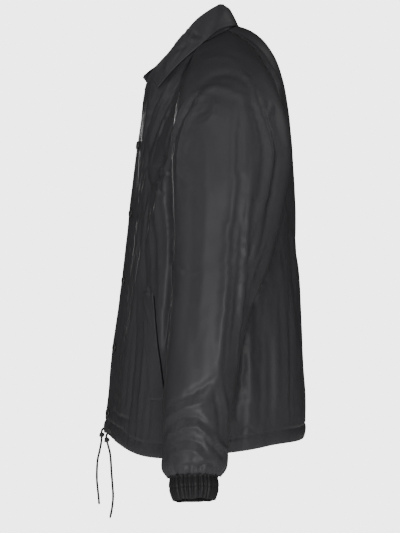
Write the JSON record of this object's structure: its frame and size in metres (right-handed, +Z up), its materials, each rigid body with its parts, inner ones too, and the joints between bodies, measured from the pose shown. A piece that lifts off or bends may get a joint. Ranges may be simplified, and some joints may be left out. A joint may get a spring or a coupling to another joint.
{
  "type": "coach jacket",
  "caption": "Lightweight nylon coach jacket with raglan sleeves, a turned-down collar, a snap front, slanted welt pockets, gathered cuffs and a drawcord hem, in its worn shape.",
  "frame": {"origin": "in the middle of the neck, level with the centre back of the neck seam and 50 mm in front of it", "axes": "+X towards the wearer's left side, -Y towards the front, +Z up"},
  "size_m": [0.8154, 0.362, 0.8788],
  "materials": {
    "nylon": "smooth black nylon with a soft sheen",
    "cuff_nylon": "black nylon gathered over elastic",
    "snap_lacquer": "black lacquered metal",
    "cord": "black braided cord"
  },
  "bodies": {
    "root": {"front_left": "nylon", "front_right": "nylon", "back": "nylon", "sleeve_left": "nylon", "sleeve_right": "nylon", "collar": "nylon", "cuff_left": "cuff_nylon", "cuff_right": "cuff_nylon", "welt_left": "nylon", "welt_right": "nylon", "snap_1": "snap_lacquer", "snap_2": "snap_lacquer", "snap_3": "snap_lacquer", "snap_4": "snap_lacquer", "snap_5": "snap_lacquer", "eyelet_left": "snap_lacquer", "eyelet_right": "snap_lacquer", "cord_left": "cord", "cord_right": "cord", "knot_left": "cord", "knot_right": "cord"}
  },
  "joints": []
}
